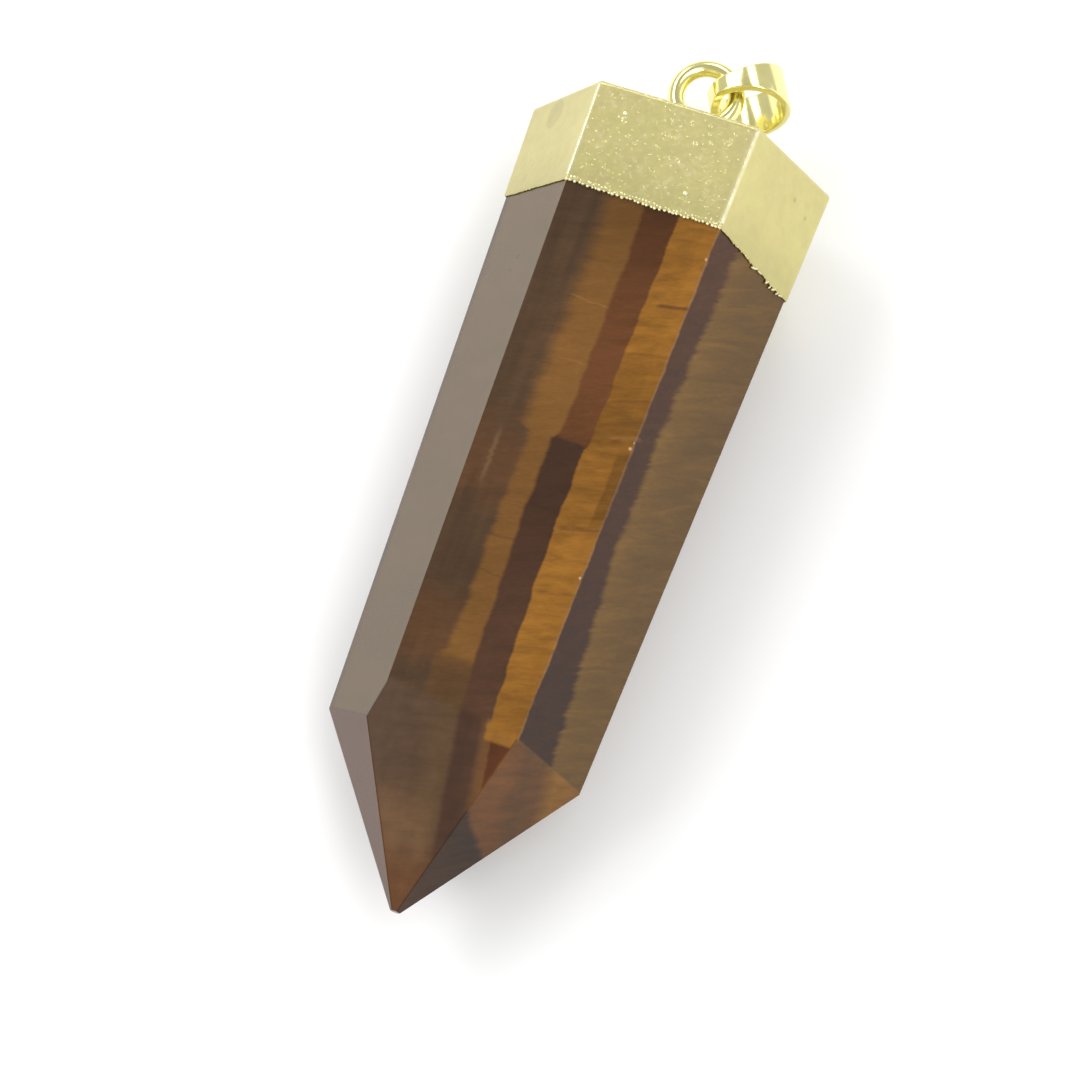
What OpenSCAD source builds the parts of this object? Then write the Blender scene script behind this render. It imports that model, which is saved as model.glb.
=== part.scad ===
// Crystal point pendant: a six-sided tiger's eye point with a thin metal cap, an eyelet and a strap bail.
// Millimetres. The pieces are drawn with the pendant's axis along Y, the tip towards -Y, the front
// face towards +Z and the cap's rim at y = 0, and are then laid on their back on the plane z = 0.

/* [Stone] */
// Width across the side corners, at the cap's rim
stone_w = 17.7; // [12:0.1:24]
// Thickness from the front face to the back face, at the cap's rim
stone_t = 14.7; // [10:0.1:20]
// Width of the front face and of the back face, at the cap's rim
front_w = 9.3; // [6:0.1:10.5]
// Length from the cap's rim to the sharp tip
stone_len = 42.9; // [32:0.1:65]
// Length of the ground point, from its shoulders to the tip
point_len = 10.5; // [7:0.5:16]
// Distance of the tip from the pendant's axis, to the right
tip_right = 0.2; // [-1:0.1:1]
// Distance of the tip from the pendant's axis, to the front
tip_front = 0.5; // [-1:0.1:1]
// Narrowing towards the tip, as a share for each millimetre of length
taper = 0.0041; // [0.001:0.0001:0.006]
// Length ground off the sharp tip, which leaves a small flat
tip_blunt = 0.4; // [0.1:0.05:1]

/* [Cap] */
// Length of the cap from its rim to its top
cap_len = 6.6; // [5:0.1:12]
// Thickness of the metal
cap_wall = 0.12; // [0.08:0.01:0.4]
// Gap between the stone and the cap
cap_gap = 0.02; // [0.01:0.01:0.08]
// Bevel along the edges of the top
top_bevel = 0.3; // [0.2:0.05:1]
// Slope of the rim from side to side, in degrees
rim_slant = 1.9; // [0:0.1:4]
// Slope of the top from side to side, in degrees
top_slant = 1.4; // [0:0.1:3]

/* [Eyelet] */
// Diameter of the wire
wire_d = 1; // [0.6:0.05:1.2]
// Radius of the ring at the middle of its wire
ring_r = 1.8; // [1.6:0.1:3]
// Length of the neck between the cap's top and the ring
neck_len = 1.4; // [0.8:0.1:4]
// Diameter of the neck and of the peg below it
neck_d = 1.2; // [0.8:0.1:1.6]
// Depth of the peg in the stone
peg_len = 4; // [2:0.5:8]
// Gap around and under the peg
peg_gap = 0.05; // [0.02:0.01:0.15]
// Distance of the eyelet from the pendant's axis, to the right
eyelet_off = 0.2; // [-1:0.05:1]

/* [Bail] */
// Thickness of the strap
strap_t = 0.45; // [0.3:0.05:0.5]
// Width of the strap where it goes round the ring
strap_end_w = 1; // [0.8:0.05:1.1]
// Width of the strap at the round end that a chain goes through
strap_top_w = 2.8; // [1.8:0.1:3.2]
// Gap between the ring's wire and the inside of the strap's end
ring_play = 0.54; // [0.5:0.01:0.62]
// Inner radius of the round end
loop_r = 1.93; // [1.6:0.01:2.4]
// Spread of each flank between the two ends, from the bail's length, in degrees
flank_turn = 59; // [35:1:70]
// Place of the bail on the ring, in degrees from the ring's top
bail_place = 62; // [45:1:80]
// Droop of the bail below the ring's own plane, in degrees
bail_droop = 47; // [0:1:50]
// Lean of the bail along the wire, in degrees
bail_lean = 8; // [0:1:10]
// Turn of the bail about its own length, in degrees
bail_turn = 8; // [-10:1:10]

/* [Hidden] */
$fn = 64;

// Half sizes of the six-sided outline at the rim
half_w = stone_w / 2;
half_t = stone_t / 2;
half_f = front_w / 2;

// The six side faces: direction about the axis, from +X towards +Z, and distance from the axis
side_turn = atan2(half_w - half_f, half_t);
side_out = half_w * cos(side_turn);
FACES = [
    [side_turn, side_out],
    [90, half_t],
    [180 - side_turn, side_out],
    [180 + side_turn, side_out],
    [270, half_t],
    [360 - side_turn, side_out],
];

// The ground point is a little uneven. One row for each side face, in the same order:
// turn about the axis in degrees, and steepness as a share of the even one
POINT_FACETS = [
    [1.5, 0.94],
    [2.7, 0.89],
    [5.6, 1.04],
    [2.2, 1.04],
    [0, 1.04],
    [-0.7, 1.01],
];
BACK = 4;

// A cutting block larger than the whole stone
block = 2 * (stone_len + cap_len + stone_w);

// Size of a face's distance from the axis, as a share of that at the rim, y millimetres above the rim
function grown(y) = 1 + taper * y;

// Slope of one facet of the point, from the pendant's axis
function facet_slope(i) =
    POINT_FACETS[i][1] * atan(FACES[i][1] * grown(point_len - stone_len) / point_len);

// The back shoulder, where the back face meets its facet of the point, is what the tip end rests on
back_rise = tan(facet_slope(BACK));
shoulder_y = -(stone_len * back_rise - half_t - tip_front) / (back_rise - half_t * taper);
shoulder_z = half_t * grown(shoulder_y);

// The cap's rim is what the other end rests on
metal_out = cap_gap + cap_wall;
rim_z = half_t + metal_out;
lay_tilt = atan((rim_z - shoulder_z) / -shoulder_y);

// The eyelet's ring, and the point of its wire that the bail hangs on
ring_y = cap_len + neck_len + wire_d / 2 + ring_r;
hang_x = eyelet_off + ring_r * sin(bail_place);
hang_y = ring_y + ring_r * cos(bail_place);

// Sizes of the bail's side view: two round ends and the flanks that touch both
ring_end_r = wire_d / 2 + ring_play;
loop_len = (loop_r - ring_end_r) / sin(flank_turn);
bail_reach = loop_len + loop_r + strap_t;
strap_from = -ring_end_r - strap_t;
OUTLINE_STEPS = 20;

// How far the bail's strap reaches past its hanging point, along the pendant's axis
bail_top = hang_y + (loop_r + strap_t) * cos(bail_place) + strap_top_w / 2 * sin(bail_place) * cos(bail_lean);

// The laid pendant is centred on its own box along Y
middle_y = (bail_top + tip_blunt - stone_len) / 2;

// Everything beyond a plane. The plane's foot is out from the axis and y along it; its outward
// normal looks in the direction turn about the axis, and is tilted by slope towards the tip.
module beyond(turn, out, y, slope) {
    rotate([0, -turn, 0])
        translate([out, y, 0])
            rotate([0, 0, -slope])
                translate([0, -block, -block])
                    cube([block, 2 * block, 2 * block]);
}

// The six-sided tapering shaft with its slanted, bevelled top, enlarged all round by grow
module shaft(grow) {
    difference() {
        translate([-stone_w, -block / 2, -stone_w])
            cube([2 * stone_w, block, 2 * stone_w]);
        for (face = FACES)
            beyond(face[0], face[1] + grow, 0, atan(face[1] * taper));
        for (face = FACES)
            beyond(
                face[0],
                face[1] * grown(cap_len) - top_bevel + grow * sqrt(2),
                cap_len + face[1] * cos(face[0]) * tan(top_slant),
                -45
            );
        translate([0, cap_len - metal_out + grow, 0])
            rotate([0, 0, top_slant])
                translate([-block, 0, -block])
                    cube([2 * block, block, 2 * block]);
    }
}

// A straight round bar along the pendant's axis, through the eyelet's place
module bar(diameter, from_y, to_y) {
    translate([eyelet_off, from_y, 0])
        rotate([-90, 0, 0])
            cylinder(h = to_y - from_y, d = diameter);
}

// The stone, with the drilled hole for the eyelet's peg
module stone_shape() {
    difference() {
        shaft(0);
        translate([tip_right, 0, tip_front])
            for (i = [0 : len(FACES) - 1])
                beyond(FACES[i][0] + POINT_FACETS[i][0], 0, -stone_len, facet_slope(i));
        translate([-block / 2, tip_blunt - stone_len - block, -block / 2])
            cube(block);
        bar(neck_d + 2 * peg_gap, cap_len - peg_len - peg_gap, cap_len + block);
    }
}

// The cap: a thin shell over the stone's end, cut off at the slanted rim, with a hole for the neck
module cap_shape() {
    difference() {
        shaft(metal_out);
        shaft(cap_gap);
        rotate([0, 0, -rim_slant])
            translate([-block, -block, -block])
                cube([2 * block, block, 2 * block]);
        bar(neck_d + 2 * peg_gap, 0, cap_len + block);
    }
}

// The eyelet: a round wire ring, seen face on from the front, on a neck with a peg
module eyelet_shape() {
    translate([eyelet_off, ring_y, 0])
        rotate_extrude()
            translate([ring_r, 0])
                circle(d = wire_d);
    bar(neck_d, cap_len - peg_len, ring_y - ring_r - wire_d / 4);
}

// Side view of the bail's loop, enlarged all round by grow: the ring's end, the flanks and the round end
module loop_view(grow) {
    small = ring_end_r + grow;
    large = loop_r + grow;
    small_x = -small * sin(flank_turn);
    large_x = loop_len - large * sin(flank_turn);
    intersection() {
        circle(r = small);
        translate([small_x - 2 * small, -small])
            square(2 * small);
    }
    polygon([
        [small_x, -small * cos(flank_turn)],
        [large_x, -large * cos(flank_turn)],
        [large_x, large * cos(flank_turn)],
        [small_x, small * cos(flank_turn)],
    ]);
    intersection() {
        translate([loop_len, 0])
            circle(r = large);
        translate([large_x, -large])
            square([2 * large, 2 * large]);
    }
}

// Half the strap's width at x along the bail
function strap_half(x) =
    (strap_end_w + (strap_top_w - strap_end_w) * sin(90 * (x - strap_from) / (bail_reach - strap_from))) / 2;

// Plan view of the strap, from the ring's end to the round end
module strap_view() {
    step = (bail_reach - strap_from) / OUTLINE_STEPS;
    polygon(concat(
        [for (i = [0 : OUTLINE_STEPS]) [strap_from + i * step, -strap_half(strap_from + i * step)]],
        [for (i = [OUTLINE_STEPS : -1 : 0]) [strap_from + i * step, strap_half(strap_from + i * step)]]
    ));
}

// The bail about its hanging point: its length along X, and a chain passes along Y
module bail_shape() {
    intersection() {
        rotate([90, 0, 0])
            linear_extrude(height = 2 * strap_top_w, center = true)
                difference() {
                    loop_view(strap_t);
                    loop_view(0);
                }
        linear_extrude(height = 4 * (loop_r + strap_t), center = true)
            strap_view();
    }
}

// Hangs the bail on the ring's wire
module on_ring() {
    translate([hang_x, hang_y, 0])
        rotate([180, 0, 90 - bail_place])
            rotate([0, -bail_droop, 0])
                rotate([0, 0, bail_lean])
                    rotate([-bail_turn, 0, 0])
                        children();
}

// Lays the finished pendant on its back
module laid() {
    translate([0, -middle_y, rim_z * cos(lay_tilt)])
        rotate([lay_tilt, 0, 0])
            children();
}

module stone() {
    color("saddlebrown")
        laid()
            stone_shape();
}

module cap() {
    color("khaki")
        laid()
            cap_shape();
}

module eyelet() {
    color("gold")
        laid()
            eyelet_shape();
}

module bail() {
    color("goldenrod")
        laid()
            on_ring()
                bail_shape();
}

stone();
cap();
eyelet();
bail();
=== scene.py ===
"""Crystal point pendant, dressed for rendering: a tiger's eye point, its pitted metal cap, the eyelet and the bail.

Sizes are millimetres in the pendant's own frame: its axis along Y, the tip towards -Y, the front face towards
+Z and the cap's rim at y = 0. laid() brings them into the loaded frame, in metres.
"""

from math import atan, atan2, ceil, copysign, cos, degrees, exp, pi, radians, sin, sqrt, tan

import bmesh
import bpy
import numpy as np
from bpy.props import FloatProperty, FloatVectorProperty, IntProperty, PointerProperty
from mathutils import Matrix, Vector, noise


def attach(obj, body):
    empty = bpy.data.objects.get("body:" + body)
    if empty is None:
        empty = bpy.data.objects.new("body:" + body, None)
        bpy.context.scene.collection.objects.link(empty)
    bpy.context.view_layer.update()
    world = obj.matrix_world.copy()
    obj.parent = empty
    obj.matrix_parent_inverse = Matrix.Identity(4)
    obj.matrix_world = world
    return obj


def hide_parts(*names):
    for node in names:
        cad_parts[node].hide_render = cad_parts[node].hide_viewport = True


bl_info = {
    "name": "Crystal Point Pendant",
    "version": (1, 0, 0),
    "blender": (4, 5, 0),
    "location": "View3D > Sidebar > Pendant",
    "description": "Makes a tiger's eye point pendant with a pitted metal cap, an eyelet and a strap bail",
    "category": "Add Mesh",
}

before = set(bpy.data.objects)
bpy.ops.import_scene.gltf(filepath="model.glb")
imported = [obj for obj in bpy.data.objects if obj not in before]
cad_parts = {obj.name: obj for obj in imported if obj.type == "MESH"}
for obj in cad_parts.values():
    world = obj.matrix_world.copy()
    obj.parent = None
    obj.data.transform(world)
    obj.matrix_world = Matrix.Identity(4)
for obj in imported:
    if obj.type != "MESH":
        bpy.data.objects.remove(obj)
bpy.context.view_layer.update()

MM = 0.001

# The stone: its sizes at the cap's rim, its narrowing for each millimetre, its lengths and its tip
STONE_W, STONE_T, FRONT_W = 17.7, 14.7, 9.3
HALF_T, HALF_F = STONE_T / 2, FRONT_W / 2
TAPER = 0.0041
STONE_LEN, POINT_LEN, TIP_BLUNT = 42.9, 10.5, 0.4
TIP = Vector((0.2, -STONE_LEN, 0.5))

# The six side faces at the rim, as direction about the axis in degrees and distance from it
SIDE_TURN = degrees(atan2((STONE_W - FRONT_W) / 2, HALF_T))
SIDE_OUT = STONE_W / 2 * cos(radians(SIDE_TURN))
FACES = [(SIDE_TURN, SIDE_OUT), (90, HALF_T), (180 - SIDE_TURN, SIDE_OUT),
         (180 + SIDE_TURN, SIDE_OUT), (270, HALF_T), (360 - SIDE_TURN, SIDE_OUT)]

# The facets of the ground point: turn about the axis in degrees, and steepness as a share of the even one
POINT_FACETS = [(1.5, 0.94), (2.7, 0.89), (5.6, 1.04), (2.2, 1.04), (0, 1.04), (-0.7, 1.01)]
BACK = 4

# How far the stone's layers move to the right for each millimetre towards the back, where a healed crack is,
# and where on the front the silky strip and the blue-grey layer begin
LAYER_LEAN = 0.58
CRACK = -14.7
SILKY_FROM, NAVY_FROM = 3.95, 4.84

# Thin lines across the stone's front: colour, strength, height, rise, thickness, and from where to where in x
MARKS = (
    ((70, 42, 28), 0.65, -5.5, 0.2, 0.11, 2.9, 4.8), ((84, 50, 28), 0.5, -19.6, 0.25, 0.11, 2.0, 4.3),
    ((86, 54, 30), 0.4, -11.6, 0.3, 0.09, 2.4, 4.5), ((92, 58, 30), 0.35, -13.1, 0.35, 0.1, 2.3, 4.5),
    ((96, 60, 26), 0.3, -8.6, 0.2, 0.1, 2.3, 4.5), ((92, 58, 24), 0.3, -17.2, 0.25, 0.09, 2.1, 4.4),
    ((92, 58, 24), 0.35, -23.6, 0.25, 0.09, 2.2, 4.4), ((92, 58, 24), 0.35, -26.9, 0.2, 0.1, 2.3, 4.4),
    ((96, 60, 26), 0.3, -30.1, 0.2, 0.09, 2.4, 4.3), ((150, 106, 60), 0.35, -13.9, 0.3, 0.13, 3.0, 4.6),
    ((140, 98, 54), 0.45, -6.6, -0.05, 0.05, -2.0, 0.2), ((140, 98, 54), 0.35, -10.0, 0.04, 0.05, -1.4, 0.2),
    ((76, 48, 30), 0.4, -23.8, -0.1, 0.06, -1.5, 0.1), ((76, 48, 30), 0.35, -20.9, 0.1, 0.06, -1.6, 0.0),
)

# Mineral specks at the surface: place, radius and colour
SPECKS = (
    ((4.62, -1.9, 7.3), 0.09, (190, 150, 110)), ((4.5, -13.6, 7.0), 0.12, (215, 190, 160)),
    ((4.3, -14.0, 6.95), 0.09, (190, 150, 110)), ((4.2, -22.1, 6.7), 0.08, (190, 150, 110)),
    ((-6.18, -4.35, 4.40), 0.13, (60, 50, 40)), ((-6.37, -5.15, 4.01), 0.11, (64, 52, 42)),
    ((-4.02, -33.0, 6.34), 0.14, (170, 150, 125)),
)

# The cap: its length, its outside's distance from the stone, its wall, the slopes of its rim and its top, the
# round and the mesh rows of the top, the gap round the neck, and how deep a pit may be
CAP_LEN, METAL_OUT, CAP_WALL = 6.6, 0.14, 0.115
RIM_SLANT, TOP_SLANT = tan(radians(1.9)), tan(radians(1.4))
TOP_ROUND, TOP_ROWS, HOLE_GAP, SINK_MOST = 0.3, 30, 0.05, 0.06

# The rim's section, as height above its end and inset
RIM_PROFILE = ((0.0, 0.07), (0.02, 0.03), (0.05, 0.008), (0.1, 0.0), (0.17, 0.0), (0.24, 0.0))

# How far the real rim is above (+) or below the even slant, by place from left to right, on the front half
RIM_BENDS = ((-9.0, 0.10), (-4.75, -0.08), (0.0, 0.06), (4.77, 0.33), (9.0, -0.09))

# The eyelet: radii of its wire, ring and neck, the ring's centre as (x, y), and where the peg ends
WIRE_R, RING_R, NECK_R = 0.5, 1.8, 0.6
NECK_LEN, PEG_LEN = 1.4, 4
RING_CENTRE = (0.2, CAP_LEN + NECK_LEN + WIRE_R + RING_R)
PEG_END = CAP_LEN - PEG_LEN

# The bail: its strap, the inner radii of its two round ends, the spread of its flanks and its length
STRAP_T, STRAP_END_W, STRAP_TOP_W = 0.45, 1.0, 2.8
END_R, LOOP_R, FLANK_TURN = WIRE_R + 0.54, 1.93, 59
LOOP_LEN = (LOOP_R - END_R) / sin(radians(FLANK_TURN))

# How the bail hangs: its place on the ring, its droop, its lean along the wire and its own turn, in degrees
BAIL_PLACE, BAIL_DROOP, BAIL_LEAN, BAIL_TURN = 62, 47, 8, 8
BAIL_TURNS = [("Z", 90 - BAIL_PLACE), ("X", 180), ("Y", -BAIL_DROOP), ("Z", BAIL_LEAN), ("X", -BAIL_TURN)]
HANG = Vector((RING_CENTRE[0] + RING_R * sin(radians(BAIL_PLACE)),
               RING_CENTRE[1] + RING_R * cos(radians(BAIL_PLACE)), 0))

# The camera, as fitted to the photograph: its place and axes in the pendant's own frame, its lens and its shift
CAMERA_PLACE = (41.565, -97.335, 286.32)
CAMERA_RIGHT = (0.93847, 0.34289, -0.04123)
CAMERA_UP = (-0.31635, 0.90138, 0.29568)
CAMERA_BACK = (0.13855, -0.26445, 0.95440)
CAMERA_LENS, CAMERA_SHIFT = 173.22, (-0.00345, -0.01137)


def facet_slope(i):
    """Slope of one facet of the ground point, from the pendant's axis"""
    reach = FACES[i][1] * (1 + TAPER * (POINT_LEN - STONE_LEN))
    return POINT_FACETS[i][1] * atan(reach / POINT_LEN)


def lying():
    """How the pendant lies on the cap's rim and the back shoulder of its point: its tilt about X, and where the
    middle of the rim is in the loaded frame"""
    rise = tan(facet_slope(BACK))
    shoulder_y = (HALF_T + TIP.z - STONE_LEN * rise) / (rise - HALF_T * TAPER)
    rim_z = HALF_T + METAL_OUT
    tilt = atan((rim_z - HALF_T * (1 + TAPER * shoulder_y)) / -shoulder_y)
    place, lean = radians(BAIL_PLACE), radians(BAIL_LEAN)
    bail_top = HANG.y + (LOOP_R + STRAP_T) * cos(place) + STRAP_TOP_W / 2 * sin(place) * cos(lean)
    return tilt, Vector((0, (STONE_LEN - TIP_BLUNT - bail_top) / 2, rim_z * cos(tilt)))


LAY_TILT, RIM_CENTRE = lying()


def shade(red, green, blue):
    """A colour in 0 to 255, as it looks on a screen, as Blender's linear colour"""
    def linear(value):
        share = value / 255
        return share / 12.92 if share <= 0.04045 else ((share + 0.055) / 1.055) ** 2.4
    return tuple(linear(value) for value in (red, green, blue))


def laid(points):
    """Points in the pendant's own frame, in millimetres, as points in the loaded frame, in metres"""
    turn = np.array(Matrix.Rotation(LAY_TILT, 3, "X"))
    return (np.asarray(points, float) @ turn.T + np.array(RIM_CENTRE)) * MM


def make_piece(name, points, faces):
    """A smooth mesh object from points in the pendant's own frame, with its faces turned outwards"""
    mesh = bpy.data.meshes.new(name)
    mesh.from_pydata(laid(points).tolist(), [], faces)
    shape = bmesh.new()
    shape.from_mesh(mesh)
    bmesh.ops.recalc_face_normals(shape, faces=shape.faces)
    shape.to_mesh(mesh)
    shape.free()
    mesh.polygons.foreach_set("use_smooth", [True] * len(mesh.polygons))
    mesh.update()
    piece = bpy.data.objects.new(name, mesh)
    bpy.context.scene.collection.objects.link(piece)
    return piece


def dress(piece, material, body, node):
    """Gives a piece its finish, and makes it stand for a node of the frame"""
    piece.data.materials.clear()
    piece.data.materials.append(material)
    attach(piece, body)
    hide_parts(node)


def tube_faces(rows, around):
    """Faces of a closed ring of rows, each a closed ring of points"""
    faces = []
    for row in range(rows):
        a, b = row * around, (row + 1) % rows * around
        for i in range(around):
            j = (i + 1) % around
            faces.append((b + i, b + j, a + j, a + i))
    return faces


def colour_choice(name, description, default):
    """A colour that can be changed"""
    return FloatVectorProperty(name=name, description=description, default=default, size=3, subtype="COLOR",
                               min=0, max=1)


def number_choice(name, description, default, low, high):
    """A number that can be changed"""
    return FloatProperty(name=name, description=description, default=default, min=low, max=high)


def length_choice(name, description, default, low, high):
    """A length that can be changed, given here in millimetres"""
    return FloatProperty(name=name, description=description, default=default * MM, min=low * MM, max=high * MM,
                         unit="LENGTH", precision=5)


class Recipe:
    """Builds a material's nodes"""

    def __init__(self, name):
        self.material = bpy.data.materials.new(name)
        self.material.use_nodes = True
        self.tree = self.material.node_tree
        self.tree.nodes.clear()

    def add(self, kind, inputs=(), out=0, **settings):
        """Adds a node, sets its fields and inputs, and returns one of its outputs"""
        node = self.tree.nodes.new("ShaderNode" + kind)
        for key, value in settings.items():
            setattr(node, key, value)
        for key, value in dict(inputs).items():
            if isinstance(value, bpy.types.NodeSocket):
                self.tree.links.new(value, node.inputs[key])
            else:
                node.inputs[key].default_value = value
        return node.outputs[out] if len(node.outputs) else None

    def math(self, operation, *values):
        return self.add("Math", dict(enumerate(values)), operation=operation)

    def plus(self, first, second):
        return self.math("ADD", first, second)

    def minus(self, first, second):
        return self.math("SUBTRACT", first, second)

    def times(self, first, second):
        return self.math("MULTIPLY", first, second)

    def scaled(self, value, factor, added):
        return self.math("MULTIPLY_ADD", value, factor, added)

    def shift(self, value, wave, size):
        """A value moved to and fro by up to half of size"""
        return self.scaled(self.minus(wave, 0.5), size, value)

    def vector(self, x=0.0, y=0.0, z=0.0):
        return self.add("CombineXYZ", {0: x, 1: y, 2: z})

    def split(self, vector):
        return [self.add("SeparateXYZ", {0: vector}, out=i) for i in range(3)]

    def distance(self, place, spot):
        return self.add("VectorMath", {0: place, 1: spot}, operation="DISTANCE", out=1)

    def noise(self, vector, scale, detail=3.0, rough=0.5, distort=0.0):
        return self.add("TexNoise", {"Vector": vector, "Scale": scale, "Detail": detail,
                                     "Roughness": rough, "Distortion": distort})

    def step(self, value, place, soft, below=0.0, above=1.0):
        """A soft step at a place, from one number below it to another above it"""
        return self.add("MapRange", {0: value, 1: place - soft, 2: place + soft, 3: below, 4: above},
                        interpolation_type="SMOOTHSTEP")

    def fall(self, value, place, soft):
        """1 below a place and 0 above it"""
        return self.step(value, place, soft, 1.0, 0.0)

    def window(self, value, low, high, soft):
        """1 between low and high, with soft edges"""
        return self.times(self.step(value, low, soft), self.fall(value, high, soft))

    def mix(self, share, first, second, blend="MIX"):
        def colour(value):
            return value if isinstance(value, bpy.types.NodeSocket) else (*value, 1.0)
        return self.add("Mix", {0: share, 6: colour(first), 7: colour(second)}, out=2,
                        data_type="RGBA", blend_type=blend, clamp_factor=True)

    def tint(self, colour, other):
        """Two colours multiplied"""
        return self.mix(1.0, colour, other, "MULTIPLY")

    def ramp(self, value, stops, low, high):
        """A colour ramp whose stops are (value, colour), for values from low to high"""
        colour = self.add("ValToRGB", {0: self.add("MapRange", {0: value, 1: low, 2: high})})
        elements = colour.node.color_ramp.elements
        while len(elements) < len(stops):
            elements.new(0.5)
        for element, (place, tone) in zip(elements, stops):
            element.position = (place - low) / (high - low)
            element.color = (*tone, 1.0)
        return colour

    def greys(self, value, stops, low, high):
        """Factors along a value, as greys; the stops are (value, factor)"""
        return self.ramp(value, [(at, (factor,) * 3) for at, factor in stops], low, high)

    def fading(self, colour, value, *stops):
        """A colour made lighter or darker along a value"""
        return self.tint(colour, self.greys(value, stops, stops[0][0], stops[-1][0]))

    def lively(self, wave, swing):
        """Factors about 1 that follow a noise"""
        return self.greys(wave, ((0.3, 1 - swing), (0.7, 1 + swing)), 0.2, 0.8)

    def own_place(self):
        """The shaded point in the pendant's own frame, in millimetres"""
        turn = Matrix.Rotation(-LAY_TILT, 3, "X")
        place = self.add("TexCoord", out="Object")
        return self.add("Mapping", {"Vector": place, "Scale": (1000, 1000, 1000),
                                    "Rotation": (-LAY_TILT, 0, 0), "Location": -(turn @ RIM_CENTRE)})

    def finish(self, **inputs):
        """The shader, with its inputs by name"""
        shader = self.add("BsdfPrincipled", {key.replace("_", " "): value for key, value in inputs.items()})
        self.add("OutputMaterial", {0: shader})
        return self.material


# ---------------------------------------------------------------- stone

def facet_plane(i):
    """The plane of one facet of the ground point: its outward direction and its distance from the origin, in mm"""
    slope, around = facet_slope(i), radians(FACES[i][0] + POINT_FACETS[i][0])
    way = Vector((cos(around) * cos(slope), -sin(slope), sin(around) * cos(slope)))
    return way, way.dot(TIP)


def borders_along(r, y, rows):
    """Borders between the layers as they wander along the stone: rows of (y, first, second, third), in mm.
    A ramp's colours hold 0 to 1, so the borders are packed in and taken out again."""
    low, span = -5.0, 15.0
    stops = [(row[0], tuple((value - low) / span for value in row[1:])) for row in reversed(rows)]
    packed = r.ramp(y, stops, -43, 7)
    return [r.scaled(r.add("SeparateColor", {0: packed}, out=i), span, low) for i in range(3)]


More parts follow.
